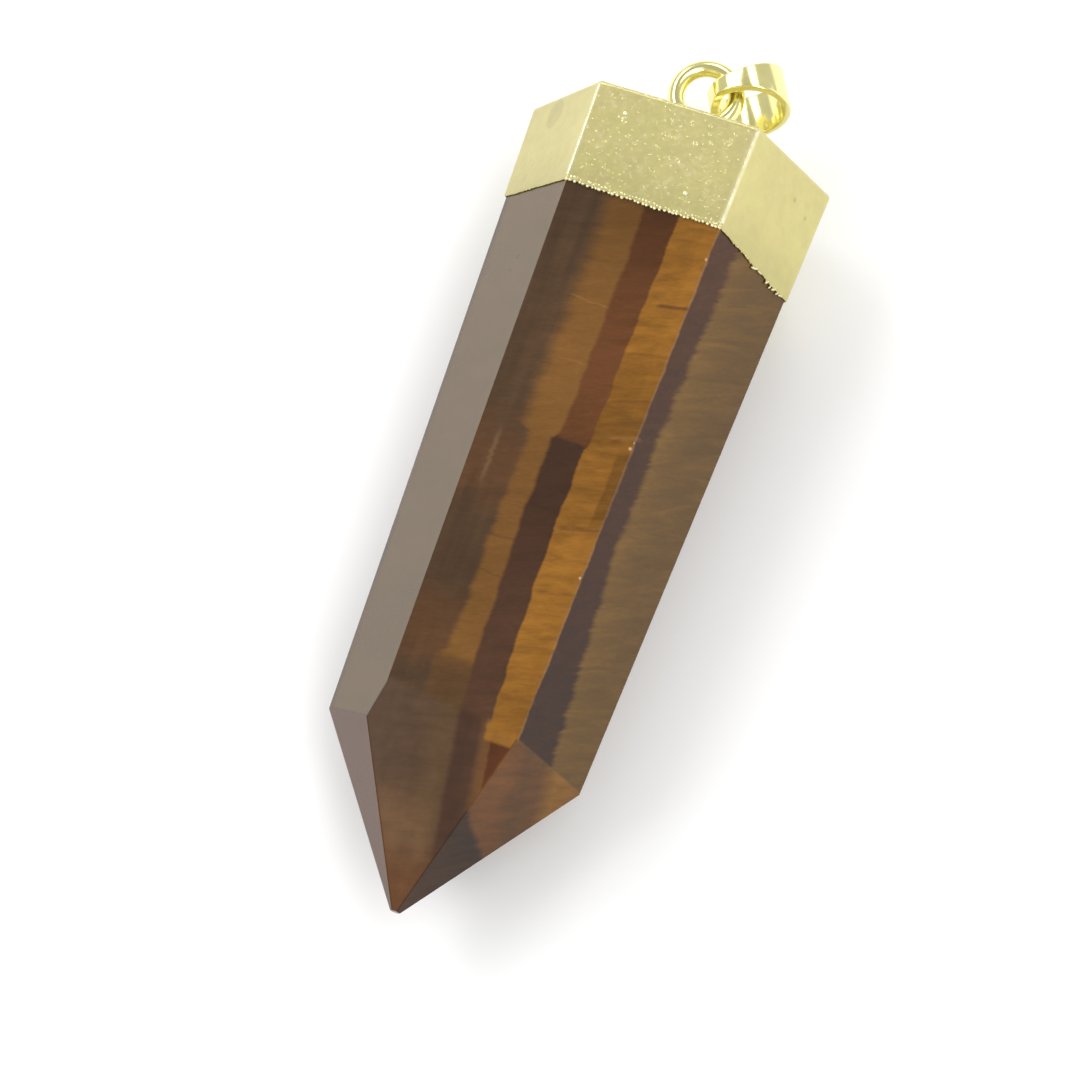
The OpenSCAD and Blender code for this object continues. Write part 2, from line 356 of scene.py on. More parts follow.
def banded_stone(look):
    """Tiger's eye: silky layers of gold and amber between brown and blue-grey ones, with fibres across them"""
    r = Recipe("banded_tigers_eye")
    place = r.own_place()
    x, y, z = r.split(place)
    grown = r.scaled(y, TAPER, 1.0)
    even_x, even_z = r.math("DIVIDE", x, grown), r.math("DIVIDE", z, grown)

    # Fibres run across the layers, rising towards the front right; faint streaks run along the stone
    along = r.plus(r.scaled(x, -0.3, y), r.times(z, 0.35))
    across = r.vector(r.times(x, 0.3), along, r.times(z, 0.3))
    broad = r.noise(across, 0.55, 3.0, 0.5)
    coarse = r.noise(across, 1.7, 4.0, 0.6, 0.4)
    fine = r.noise(across, 8.0, 3.0, 0.6)
    strands = r.noise(r.vector(r.times(x, 0.16), along, r.times(z, 0.16)), 1.5, 5.0, 0.62, 0.7)
    saw = r.noise(r.vector(0.0, along, 0.0), 2.6, 3.0, 0.65)
    drift = r.noise(r.vector(0.0, r.times(y, 0.35), 0.0), 1.0, 2.0, 0.5)
    streaks = r.noise(r.vector(x, r.times(y, 0.1), z), 1.2, 4.0, 0.55)

    # The layers lean back to the left, so that the left face shows a single one
    layer = r.plus(even_x, r.scaled(even_z, -LAYER_LEAN, LAYER_LEAN * HALF_T))
    layer = r.shift(r.shift(r.shift(layer, saw, 0.2), drift, 0.3), broad, 0.5)

    # A healed crack, which climbs on the right, shifts the layers
    climb = r.add("MapRange", {0: x, 1: 1.8, 2: 4.6, 3: 0.0, 4: 1.0})
    wavy = r.shift(r.minus(y, climb), r.noise(place, 0.8, 3.0, 0.6), 0.9)
    gold_from, gold_to, amber_from = borders_along(r, wavy, [
        (0, -2.1, 0.2, 2.3), (-8, -2.2, 0.3, 2.2), (CRACK + 0.1, -2.4, 0.25, 2.15), (CRACK - 0.1, -1.6, -0.15, 1.9),
        (-19, -1.75, -0.2, 1.95), (-28.4, -1.7, 0.2, 2.35), (-29, -2.3, 0.3, 2.45), (-34, -1.6, 0.8, 2.9)])
    navy_to = borders_along(r, y, [(0, 7.2, 0, 0), (-13, 6.8, 0, 0), (-20, 7.0, 0, 0), (-33, 9.3, 0, 0)])[0]
    below = r.fall(wavy, CRACK, 0.12)

    # Each layer's colour, and how it lightens and darkens along the stone
    brown = r.fading(tuple(look.brown), wavy, (-33, 0.9), (-22, 0.8), (-18, 0.95), (-8, 1.0), (0, 0.76))
    gold = r.fading(tuple(look.gold), wavy, (-33, 0.66), (-29.1, 0.74), (-28.5, 1.1), (-22, 0.98),
                    (-15, 1.05), (-12, 1.28), (-4, 1.03), (0, 0.73))
    russet = r.fading(tuple(look.russet), wavy, (CRACK, 1.05), (-11, 1.4), (-5, 1.1), (0, 0.65))
    dusk = r.fading(tuple(look.dusk), wavy, (-33, 1.45), (-25, 1.35), (-19, 0.95), (CRACK, 1.0))
    amber = r.fading(tuple(look.amber), wavy, (-32.6, 0.8), (-31, 0.74), (-29, 0.98), (-21, 0.98), (-19, 0.82),
                     (CRACK - 0.2, 0.84), (CRACK + 0.5, 0.55), (-8, 0.92), (0, 0.84))
    silky = r.fading(amber, wavy, (-20.2, 0.96), (-19, 0.66), (-15.6, 0.7), (CRACK, 1.09))
    navy = r.fading(tuple(look.navy), y, (-33, 0.62), (-27, 0.66), (-20, 0.86), (-11, 1.0), (0, 1.3))
    khaki = r.fading(tuple(look.khaki), layer, (7, 1.35), (9.6, 1.04), (11.2, 0.96))

    # The brown has warm patches, and the gold turns to it above the point
    billow = r.shift(r.shift(wavy, streaks, 5.0), broad, 3.0)
    warm = r.plus(r.window(billow, -29.0, -25.8, 1.3), r.window(billow, -19.3, -15.4, 1.5))
    brown = r.fading(brown, streaks, (0.3, 0.86), (0.7, 1.16))
    brown = r.mix(r.times(warm, 0.4), brown, shade(98, 62, 34))
    gold = r.mix(r.fall(wavy, -28.9, 0.3), gold, r.mix(0.5, brown, gold))

    # The layers from left to right
    def beyond(border, soft):
        return r.step(r.minus(layer, border), 0.0, soft)

    crisp = r.scaled(below, 2.2, 1.6)
    golden = r.times(r.minus(r.shift(layer, coarse, 0.5), gold_from), crisp)
    colour = r.mix(r.step(golden, 0.3, 1.0), brown, gold)
    colour = r.mix(beyond(gold_to, 0.16), colour, r.mix(below, russet, dusk))
    colour = r.mix(beyond(amber_from, 0.1), colour, r.mix(r.step(layer, SILKY_FROM, 0.12), amber, silky))
    colour = r.mix(r.step(layer, NAVY_FROM, 0.12), colour, navy)
    colour = r.mix(r.step(r.shift(r.minus(layer, navy_to), strands, 1.6), 0.0, 0.4), colour, khaki)

    # Fibres lighten and darken the colour, partly the stone's own pattern and partly its silky sheen painted in: calm
    # on the left, silky in the amber, wisps on the right side, and hair lines everywhere
    soft = r.lively(coarse, 0.22)
    sheen = r.mix(r.step(layer, 1.9, 0.5), r.lively(coarse, 0.1), soft)
    wisps = r.greys(strands, ((0.3, 0.8), (0.5, 0.97), (0.62, 1.14), (0.72, 1.3)), 0.2, 0.8)
    colour = r.tint(colour, r.mix(r.step(layer, 7.2, 0.6), sheen, wisps))
    colour = r.tint(colour, r.lively(r.scaled(fine, 0.6, r.times(broad, 0.4)), 0.12))

    # The left face is a single even layer
    leftward = r.times(r.fall(even_x, -HALF_F, 0.03), r.step(even_z, 0.4, 0.4))
    veil = r.lively(r.noise(across, 0.5, 5.0, 0.6), 0.08)
    taupe = r.fading(tuple(look.taupe), y, (-33, 0.92), (0, 1.04))
    colour = r.mix(leftward, colour, r.tint(taupe, veil))

    # The point's front facet: narrow lanes that run down to the tip, a pale beam and a warm tip
    down = r.scaled(y, -1.0, -32.2)
    lane = r.shift(r.scaled(down, -0.12, x), saw, 0.25)
    point = r.ramp(lane, [
        (-4, shade(82, 63, 48)), (-1.6, shade(80, 59, 43)), (-0.5, shade(85, 64, 43)), (0.3, shade(84, 62, 41)),
        (0.65, shade(66, 44, 32)), (1.2, shade(66, 44, 32)), (1.75, shade(70, 48, 34)), (2.15, shade(94, 64, 37)),
        (2.5, shade(104, 68, 36)), (2.66, shade(82, 44, 22))], -4, 4)
    last_amber = r.times(r.step(lane, 2.2, 0.12), r.fall(down, 0.4, 0.12))
    point = r.mix(last_amber, point, tuple(look.amber))
    beam = r.times(r.step(down, 4.4, 1.4), r.fall(lane, -0.1, 0.5))
    point = r.mix(r.times(beam, 0.6), point, shade(112, 82, 54))
    point = r.mix(r.step(down, 7.4, 1.6), point, shade(95, 62, 37))
    point = r.tint(r.fading(point, streaks, (0.3, 0.9), (0.7, 1.1)), r.lively(coarse, 0.12))

    # Its right facet, which is dark below a slanting border, and its left one
    side = r.ramp(x, [(2.5, shade(100, 62, 27)), (3.8, shade(104, 64, 26)), (4.8, shade(84, 54, 24)),
                      (5.6, shade(90, 58, 24)), (6.4, shade(120, 80, 24)), (8, shade(112, 74, 24))], 2, 9)
    side = r.fading(side, y, (-38, 0.75), (-34, 1.0))
    border = r.shift(r.scaled(r.minus(x, 2.6), 1.25, r.plus(y, 36.5)), coarse, 1.0)
    dark = r.fading(shade(50, 32, 18), y, (-42, 1.6), (-38, 1.0))
    side = r.tint(r.mix(r.fall(border, 0.0, 0.4), side, dark), soft)
    for i, edge, tone in ((1, 0.14, point), (0, 0.06, side), (2, 0.05, r.tint(shade(78, 42, 4), veil))):
        way, reach = facet_plane(i)
        out = r.add("VectorMath", {0: place, 1: tuple(way)}, operation="DOT_PRODUCT", out=1)
        colour = r.mix(r.step(out, reach - edge, edge), colour, tone)

    # Fine marks: dark lines across the amber, pale ones in the gold, a whitish streak and mineral specks
    front = r.step(z, 4.5, 0.3)
    wander = r.shift(y, coarse, 0.5)
    for tone, strength, height, rise, thick, first, last in MARKS:
        off = r.math("ABSOLUTE", r.minus(r.scaled(x, -rise, wander), height - 2.5 * rise))
        share = r.times(r.window(x, first, last, 0.25), r.fall(off, thick, thick))
        colour = r.mix(r.times(r.times(share, front), strength), colour, shade(*tone))
    off = r.math("ABSOLUTE", r.plus(x, r.scaled(saw, 0.6, 2.8)))
    streak = r.times(r.window(y, -18.4, -15.4, 0.6), r.fall(off, 0.12, 0.12))
    colour = r.mix(r.times(streak, r.times(front, 0.25)), colour, shade(140, 108, 76))
    for spot, size, tone in SPECKS:
        colour = r.mix(r.fall(r.distance(place, spot), size, size * 0.6), colour, shade(*tone))

    dent = r.add("Bump", {"Strength": 0.08, "Distance": 0.0001, "Height": fine})
    return r.finish(Base_Color=colour, Roughness=r.scaled(coarse, 0.06, look.polish), IOR=1.54,
                    Specular_IOR_Level=0.22, Normal=dent)


class TigersEyeLook(bpy.types.PropertyGroup):
    """The stone's colours and polish"""
    brown: colour_choice("Brown layer", "Colour of the dark brown layer on the left", shade(77, 57, 39))
    gold: colour_choice("Golden layer", "Colour of the hazy golden layer", shade(106, 72, 34))
    russet: colour_choice("Red-brown layer", "Colour of the middle layer above the healed crack", shade(84, 51, 27))
    dusk: colour_choice("Dark layer", "Colour of the middle layer below the healed crack", shade(62, 41, 28))
    amber: colour_choice("Amber layer", "Colour of the bright silky layer", shade(136, 91, 33))
    navy: colour_choice("Blue-grey layer", "Colour of the layer along the right edge", shade(63, 33, 7))
    khaki: colour_choice("Right side", "Colour of the wispy layer on the right side", shade(94, 66, 19))
    taupe: colour_choice("Left side", "Colour of the even layer on the left side", shade(92, 71, 38))
    polish: number_choice("Roughness", "Roughness of the polished faces", 0.09, 0.02, 0.6)
    edge: length_choice("Edge rounding", "Width of the worn edges between the faces", 0.12, 0, 0.4)


class PENDANT_OT_stone(bpy.types.Operator):
    """Makes the six-sided tiger's eye point with its worn edges"""
    bl_idname = "pendant.stone"
    bl_label = "Tiger's Eye Point"

    def execute(self, context):
        look = context.scene.pendant_stone
        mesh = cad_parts["stone"].data.copy()
        mesh.name = "tigers_eye_point"
        shape = bmesh.new()
        shape.from_mesh(mesh)
        shape.transform(Matrix.Scale(1 / MM, 4))
        bmesh.ops.remove_doubles(shape, verts=shape.verts, dist=0.001)
        bmesh.ops.dissolve_limit(shape, angle_limit=radians(1), verts=shape.verts, edges=shape.edges)
        edges = [e for e in shape.edges if len(e.link_faces) == 2 and e.calc_face_angle() > radians(12)
                 and e.calc_length() > 1]
        bmesh.ops.bevel(shape, geom=edges, offset=look.edge / MM, segments=4, profile=0.5, affect="EDGES",
                        clamp_overlap=True)
        shape.transform(Matrix.Scale(MM, 4))
        shape.to_mesh(mesh)
        shape.free()
        mesh.polygons.foreach_set("use_smooth", [False] * len(mesh.polygons))
        piece = bpy.data.objects.new("tigers_eye_point", mesh)
        context.scene.collection.objects.link(piece)
        dress(piece, banded_stone(look), "pendant", "stone")
        return {"FINISHED"}


# ---------------------------------------------------------------- cap

class CapLook(bpy.types.PropertyGroup):
    """The cap's metal and the unevenness of its surface and rim"""
    metal: colour_choice("Metal", "Colour of the cap's metal", (0.665, 0.6, 0.262))
    roughness: number_choice("Roughness", "Roughness of the cap's faces", 0.36, 0.05, 0.8)
    corner: length_choice("Corner rounding", "Radius of the edges between the cap's faces", 0.13, 0.08, 0.6)
    pits: length_choice("Pit depth", "Depth of the pits in the cap's faces", 0.03, 0, 0.06)
    ragged: length_choice("Rim raggedness", "How far the rim's grains and flakes reach", 0.12, 0, 0.4)
    spacing: length_choice("Mesh spacing", "Distance between the cap's mesh points", 0.1, 0.06, 0.4)


def cap_outline(corner, spacing):
    """The cap's rounded six-sided outline: for each point its place (x, z) at y = 0, how that place moves with y,
    its outward direction, and how far it is from the nearest rounded corner"""
    normals = [np.array([cos(radians(t)), sin(radians(t))]) for t, _ in FACES]

    def corner_centre(i, y):
        """Centre of the round between face i and the next one, at height y"""
        a, b = i, (i + 1) % 6
        reach = [FACES[k][1] * (1 + TAPER * y) + METAL_OUT - corner for k in (a, b)]
        return np.linalg.solve(np.array([normals[a], normals[b]]), np.array(reach))

    place, drift, out, edge = [], [], [], []
    for i in range(6):
        before, after = (i - 1) % 6, i
        start, end = corner_centre(before, 0), corner_centre(after, 0)
        start_drift = corner_centre(before, 1) - start
        end_drift = corner_centre(after, 1) - end
        steps = max(4, round(np.linalg.norm(end - start) / spacing))
        for k in range(1, steps):
            t = k / steps
            place.append(start + (end - start) * t + normals[i] * corner)
            drift.append(start_drift + (end_drift - start_drift) * t)
            out.append(normals[i])
            edge.append(min(t, 1 - t) * np.linalg.norm(end - start))
        turn_a = radians(FACES[i][0])
        turn_b = radians(FACES[(i + 1) % 6][0])
        if turn_b < turn_a:
            turn_b += 2 * pi
        round_steps = 8
        for k in range(round_steps + 1):
            turn = turn_a + (turn_b - turn_a) * k / round_steps
            n = np.array([cos(turn), sin(turn)])
            place.append(end + n * corner)
            drift.append(end_drift)
            out.append(n)
            edge.append(0.0)
    return np.array(place), np.array(drift), np.array(out), np.array(edge)


def cap_rim(look, s, place):
    """Height of the ragged rim for each point of the outline, s being the way round it"""
    height = -RIM_SLANT * place[:, 0]
    bends = np.interp(place[:, 0], *zip(*RIM_BENDS))
    plain = np.interp(place[:, 0], (-9.0, 9.0), (RIM_BENDS[0][1], RIM_BENDS[-1][1]))
    front = np.clip(place[:, 1] / 0.8 + 0.5, 0, 1)
    height = height + plain + (bends - plain) * front
    reach = look.ragged / MM
    for i, way in enumerate(s):
        grain = noise.noise(Vector((way * 3.1, 1.7, 0)))
        wave = noise.noise(Vector((way * 0.7, 5.3, 0)))
        height[i] += reach * (0.3 * grain + 0.35 * wave)
        if place[i, 0] > 4.8 and place[i, 1] > -2:
            height[i] -= reach * 1.3 * max(0.0, abs(noise.noise(Vector((way * 2.3, 9.1, 0)))) - 0.15)
    return height


class Grains:
    """Small grains and flakes of metal, added to the cap's mesh"""

    def __init__(self):
        shape = bmesh.new()
        bmesh.ops.create_icosphere(shape, subdivisions=2, radius=1)
        self.ball = np.array([v.co for v in shape.verts])
        self.ball_faces = [tuple(v.index for v in f.verts) for f in shape.faces]
        shape.free()
        self.points, self.faces, self.shine, self.count = [], [], [], 0

    def add(self, points, faces, shine):
        self.faces += [tuple(i + self.count for i in f) for f in faces]
        self.points.append(points)
        self.shine.append(np.full(len(points), shine))
        self.count += len(points)

    def bead(self, centre, out, size, flat=1.0, shine=0.8, way=(0, 1, 0), stretch=1.0):
        """A round grain, flattened along its outward direction and stretched along way"""
        ball = self.ball + np.outer(self.ball @ out * (flat - 1), out)
        self.add(centre + size * (ball + np.outer(ball @ way * (stretch - 1), way)), self.ball_faces, shine)


class PENDANT_OT_cap(bpy.types.Operator):
    """Makes the thin pitted cap with its beaded, ragged rim"""
    bl_idname = "pendant.cap"
    bl_label = "Metal Cap"

    def execute(self, context):
        look = context.scene.pendant_cap
        spacing = look.spacing / MM
        place, drift, out, edge = cap_outline(look.corner / MM, spacing)
        around = len(place)
        way = np.concatenate([[0], np.cumsum(np.linalg.norm(np.diff(place, axis=0), axis=1))])
        rim = cap_rim(look, way, place)
        top = CAP_LEN + TOP_SLANT * place[:, 0]
        outward = np.stack([out[:, 0], np.zeros(around), out[:, 1]], 1)
        up = np.tile([-TOP_SLANT, 1.0, 0.0], (around, 1))

        # The two front edges get a painted highlight over some real burnish, the right one wider; along all edges the
        # metal keeps even
        main_edge = (edge < 0.4) & (np.abs(place[:, 0]) < 5.2) & (place[:, 1] > 6.5)
        edge_glint_width = np.where(place[:, 0] > 0, 0.09, 0.045)
        near_edge = np.exp(-(edge / edge_glint_width) ** 2) * np.where(main_edge, 1.0, 0.1)
        firm_edge = np.exp(-(edge / 0.55) ** 2)
        front_share = np.clip(out[:, 1], 0, 1) ** 2
        points, normals, bright, firm = [], [], [], []

        def row_at(y, inset=0.0):
            flat = place + drift * y[:, None] - out * np.reshape(inset, (-1, 1))
            return np.stack([flat[:, 0], y, flat[:, 1]], 1)

        def on_top(spot, below=0.0):
            return np.stack([spot[:, 0], CAP_LEN - below + TOP_SLANT * spot[:, 0], spot[:, 1]], 1)

        def add_row(row, normal, shine, hold):
            points.append(row)
            normals.append(normal)
            bright.append(np.full(around, shine))
            firm.append(np.full(around, hold))

        # The rim, the side, the round below the top, and the top as far as the hole for the neck
        for back, inset in RIM_PROFILE:
            add_row(row_at(rim + back, inset + 0.05 * front_share * max(0.0, 1 - back / 0.2)), outward, 0.0, 0.9)
        rows = ceil((CAP_LEN - TOP_ROUND) / spacing)
        for k in range(rows):
            t = (k + 1) / rows
            row = row_at((rim + RIM_PROFILE[-1][0]) * (1 - t) + (top - TOP_ROUND) * t)
            worn = [0.75 + 0.5 * noise.noise(Vector((p[0], p[1] * 2.2, 4.4))) for p in row]
            add_row(row, outward, near_edge * np.clip(worn, 0, 1), np.maximum(firm_edge, exp(-(k / 5) ** 2)))
        # The round below the top carries a faint painted highlight
        for k in range(1, 8):
            turn = radians(90 * k / 7)
            add_row(row_at(top - TOP_ROUND + TOP_ROUND * sin(turn), TOP_ROUND * (1 - cos(turn))),
                    outward * cos(turn) + up * sin(turn), 0.08 * sin(2 * turn), 0.4)
        ring = points[-1][:, [0, 2]]
        hole = np.array([RING_CENTRE[0], 0.0])
        flat = ring - hole
        flat = hole + flat / np.linalg.norm(flat, axis=1)[:, None] * (NECK_R + HOLE_GAP)
        for k in range(1, TOP_ROWS + 1):
            t = (k / TOP_ROWS) ** 0.85
            add_row(on_top(ring * (1 - t) + flat * t), up, 0.0, 0.6)
        outer_rows = len(points)
        points, normals, bright, firm = (np.concatenate(rows) for rows in (points, normals, bright, firm))

        # Shallow waves, pits and patches of grain press the metal inwards, so that the cap keeps within its size
        sink = np.zeros(len(points))
        for i, p in enumerate(points):
            v = Vector(p)
            rim_zone = max(0.0, 1 - (p[1] + RIM_SLANT * p[0]) / 1.3)
            patch = min(1.0, max(0.0, noise.noise(v * 0.45 + Vector((3.1, 0.4, 8.2))) * 3.0 - 0.2))
            peel = 0.22 * noise.noise(v * 1.1) + 0.16 * noise.noise(v * 2.6)
            grain = noise.noise(v * 4.8) * (0.12 + 0.5 * rim_zone + 0.45 * patch)
            rare = noise.noise(v * 0.7 + Vector((7, 3, 1)))
            pit = max(0.0, 1 - noise.voronoi(v * 1.3)[0][0] / 0.2) if rare > 0.12 else 0.0
            sink[i] = look.pits / MM * (0.45 + peel + grain + 0.8 * pit)
        sink = np.clip(sink, 0, SINK_MOST) * (1 - 0.92 * firm)
        points = points - normals * sink[:, None]

        # The inside, close to the stone, joined to the outside at the rim and at the hole
        inner = [row_at(y, inset) for inset, y in ((0.1, rim + 0.015), (CAP_WALL, rim + 0.3),
                                                   (CAP_WALL, top - 0.32), (0.35, top - CAP_WALL))]
        inner.append(on_top(flat, CAP_WALL))
        points = np.concatenate([points, *reversed(inner)])
        faces = tube_faces(outer_rows + len(inner), around)
        grains = rim_grains(way, place, drift, out, rim)
        faces += [tuple(i + len(points) for i in f) for f in grains.faces]
        bright = np.concatenate([bright, np.zeros(len(inner) * around), *grains.shine])
        piece = make_piece("pitted_cap", np.concatenate([points, *grains.points]), faces)
        attribute = piece.data.attributes.new("glint_and_burnish", "FLOAT", "POINT")
        attribute.data.foreach_set("value", bright.astype(np.float32))
        dress(piece, pitted_metal(look), "pendant", "cap")
        return {"FINISHED"}


def rim_grains(way, place, drift, out, rim):
    """The beaded grains along the rim and the front edges, the bumps on the front, and the flakes on the right"""
    grains = Grains()
    random = np.random.default_rng(11)

    def on_cap(index, up, inset):
        y = rim[index] + up
        flat = place[index] + drift[index] * y - out[index] * inset
        return np.array([flat[0], y, flat[1]]), np.array([out[index][0], 0.0, out[index][1]])

    # Rows of grains: which part of the outline, how far apart and how high, their sizes, inset and stretch
    front = [i for i in range(len(way)) if out[i][1] > 0.93 and abs(place[i, 0]) < 4.9]
    left = [i for i in range(len(way)) if out[i][0] < -0.8 and place[i, 1] > 0.5]
    right = [i for i in range(len(way)) if out[i][0] > 0.8 and place[i, 1] > 0.5]
    for side, gap, low, high, small, large, inset, stretch in (
            (front, 0.25, -0.03, 0.04, 0.09, 0.125, 0.045, 1.15), (front, 0.22, 0.13, 0.27, 0.06, 0.095, 0.05, 1.4),
            (left, 0.5, -0.02, 0.06, 0.03, 0.05, 0.04, 1.3), (right, 0.45, -0.02, 0.05, 0.04, 0.06, 0.04, 1.4),
            (front[:10], 0.17, 0.05, 0.75, 0.06, 0.095, 0.05, 1.9)):
        at = min(way[side])
        while at < max(way[side]):
            index = side[int(np.argmin(np.abs(way[side] - at)))]
            spot, outward = on_cap(index, random.uniform(low, high), inset)
            turn = random.uniform(0, pi)
            across = np.cross(outward, (0.0, 1.0, 0.0))
            lie = across * sin(turn) + np.array([0.0, cos(turn), 0.0])
            # Each grain carries a painted highlight of random strength
            grains.bead(spot, outward, random.uniform(small, large), random.uniform(0.75, 1.0),
                        random.uniform(0.3, 0.75), lie, random.uniform(1.0, stretch))
            at += gap * random.uniform(0.75, 1.25)

    # Grains along the two front edges and the top, each with a painted highlight
    for corner_x, count in ((-4.7, 16), (4.7, 9)):
        index = int(np.argmin(np.hypot(place[:, 0] - corner_x, place[:, 1] - 7.5)))
        for _ in range(count):
            spot, outward = on_cap(index, random.uniform(0.2, 5.6), 0.03)
            grains.bead(spot, outward, random.uniform(0.045, 0.075), 0.8, 0.8, (0, 1, 0), random.uniform(1, 2.2))
    slope = np.array([0.0, 0.7071, 0.7071])
    for _ in range(26):
        x = random.uniform(-4.3, 4.4)
        y = CAP_LEN + TOP_SLANT * x - 0.1
        z = HALF_T * (1 + TAPER * y) + METAL_OUT - 0.1
        grains.bead(np.array([x, y, z]), slope, random.uniform(0.04, 0.075), 0.8, random.uniform(0, 0.5),
                    (1, 0, 0), random.uniform(1, 2.4))

    # Low round bumps on the front face, in clusters and close to the rim, each with a faint painted highlight, two of
    # them with a strong one
    def bump(x, y, size, shine, flat=0.08, sunk=0.8):
        wide = size / sqrt(1 - sunk ** 2)
        z = HALF_T * (1 + TAPER * y) + METAL_OUT - 0.01 - sunk * flat * wide
        grains.bead(np.array([x, y, z]), np.array([0.0, 0.0, 1.0]), wide, flat, shine)

    bump(-2.81, 4.95, 0.15, 0.9, 0.6, 0.3)
    bump(2.12, 1.46, 0.15, 1.0, 0.6, 0.3)
    for x, y, wide, high, count, small, large in (
            (-3.4, 4.6, 0.5, 0.9, 8, 0.06, 0.14), (3.1, 5.2, 0.8, 0.5, 12, 0.06, 0.14),
            (0.2, 5.4, 1.0, 0.4, 6, 0.06, 0.13), (-0.6, 3.2, 1.6, 1.0, 8, 0.05, 0.12),
            (-3.2, 1.1, 0.8, 0.4, 20, 0.05, 0.11), (3.2, 0.9, 0.9, 0.35, 24, 0.05, 0.11),
            (0.0, 0.7, 1.8, 0.3, 22, 0.05, 0.1)):
        for _ in range(count):
            px, py = random.normal(x, wide), random.normal(y, high)
            if abs(px) < 4.4 and 0.3 - RIM_SLANT * px < py < 5.9:
                bump(px, py, random.uniform(small, large), random.uniform(0.03, 0.22))

    # Loose flakes on the right rim, each with a painted highlight: distance from the front edge, turn from straight
    # down, length and width
    down = np.array([0.0, -1.0, 0.0])
    for along, turn, length, width in ((4.9, 1.3, 0.8, 0.17), (5.5, 1.5, 0.55, 0.13), (6.45, 0.95, 0.45, 0.17),
                                       (6.85, 0.6, 0.4, 0.14), (7.3, 1.1, 0.55, 0.17), (7.75, 0.8, 0.4, 0.14),
                                       (8.1, 1.3, 0.5, 0.13)):
        index = right[int(np.argmin(np.abs(place[right][:, 0] - (HALF_F + along * 0.496))))]
        root, outward = on_cap(index, 0.02, 0.05)
        frontward = np.cross((0.0, 1.0, 0.0), outward)
        frontward *= copysign(1, frontward[2])
        lie = down * cos(turn) + frontward * sin(turn)
        grains.bead(root + lie * length * 0.3, outward, width / 2, 0.8, 0.5, lie, length / width)
    return grains


def pitted_metal(look):
    """Matte plated metal with fine grain, pale smudges on the front, and a painted highlight, over some real burnish,
    on its edges and grains
    """
    r = Recipe("matte_plated_cap")
    place = r.own_place()
    x, y, z = r.split(place)
    glint_and_burnish = r.add("Attribute", out="Fac", attribute_name="glint_and_burnish")
    cloud = r.noise(place, 0.5, 4.0, 0.6)
    grain = r.noise(place, 7.0, 3.0, 0.6)
    pits = r.add("TexVoronoi", {"Vector": place, "Scale": 3.2, "Randomness": 1.0}, out="Distance", feature="F1")
    pit = r.step(r.minus(1.0, pits), 0.86, 0.05)

    # Slightly rosy clouds, the metal a little darker on the side faces and towards the rim, and a few darker spots:
    # place, size, softness and factor
    metal = tuple(look.metal)
    rosy = tuple(c * share for c, share in zip(metal, (1.01, 0.99, 1.03)))
    colour = r.mix(r.step(cloud, 0.52, 0.12), metal, rosy)
    colour = r.fading(colour, r.noise(place, 1.2, 5.0, 0.6), (0.3, 0.94), (0.55, 1.0), (0.7, 1.03))
    colour = r.fading(colour, r.math("ABSOLUTE", x), (HALF_F, 1.0), (HALF_F + 1.5, 0.92))
    colour = r.fading(colour, y, (0.4, 0.89), (2.6, 1.0))
    for spot, size, soft, share in (
            ((-7.4, 5.19, 3.14), 0.95, 0.08, 0.88), ((7.66, 4.89, 2.68), 0.14, 0.1, 0.78),
            ((8.44, 4.46, 1.28), 0.11, 0.08, 0.75), ((-1.4, 2.6, 7.5), 1.4, 1.4, 0.95),
            ((-8.0, 1.2, 1.9), 0.3, 0.25, 0.9)):
        colour = r.fading(colour, r.distance(place, spot), (size - soft, share), (size + soft, 1.0))
    smudge = r.times(r.step(r.noise(place, 2.4, 5.0, 0.7, 0.6), 0.57, 0.07), r.step(cloud, 0.46, 0.1))
    colour = r.mix(r.times(smudge, r.step(z, 7.45, 0.03, 0.0, 0.3)), colour, (0.82, 0.77, 0.5))
    # Painted highlight: the edges, the top round and the grains turn pale, and the roughness drops a little there as
    # for real burnish
    colour = r.mix(glint_and_burnish, colour, (0.93, 0.88, 0.6))

    rough = r.scaled(glint_and_burnish, -0.08, r.scaled(grain, 0.16, look.roughness - 0.08))
    dent = r.add("Bump", {"Strength": 0.2, "Distance": 0.00003, "Height": grain})
    dent = r.add("Bump", {"Strength": 0.25, "Distance": 0.00004, "Height": pit, "Normal": dent}, invert=True)
    return r.finish(Base_Color=colour, Metallic=1.0, Roughness=rough, Normal=dent)


# ---------------------------------------------------------------- eyelet and bail

class FindingsLook(bpy.types.PropertyGroup):
    """The polished metal of the eyelet and the bail"""
    metal: colour_choice("Metal", "Colour of the polished metal", (0.95, 0.88, 0.40))
    roughness: number_choice("Roughness", "Roughness of the polished metal", 0.11, 0.01, 0.5)
    solder: length_choice("Solder", "Size of the solder round between the eyelet's ring and its neck", 0.25, 0.05, 0.5)
    rounding: length_choice("Strap rounding", "Radius of the strap's edges", 0.12, 0.02, 0.2)
    steps: IntProperty(name="Round steps", description="Mesh points round the bail's loop", default=220,
                       min=60, max=600)


def polished_metal(look, name):
    """Polished gold-coloured metal with faint hair lines"""
    r = Recipe(name)
    place = r.own_place()
    wear = r.noise(place, 1.4, 4.0, 0.6)
    hair = r.noise(r.add("Mapping", {"Vector": place, "Scale": (1, 6, 6), "Rotation": (0.3, 0.5, 0.8)}), 6.0, 2.0)
    metal = tuple(look.metal)
    colour = r.mix(r.step(wear, 0.5, 0.25), metal, tuple(c * 0.93 for c in metal))
    dent = r.add("Bump", {"Strength": 0.06, "Distance": 0.00002, "Height": hair})
    return r.finish(Base_Color=colour, Metallic=0.93, Roughness=r.scaled(wear, 0.05, look.roughness), Normal=dent)


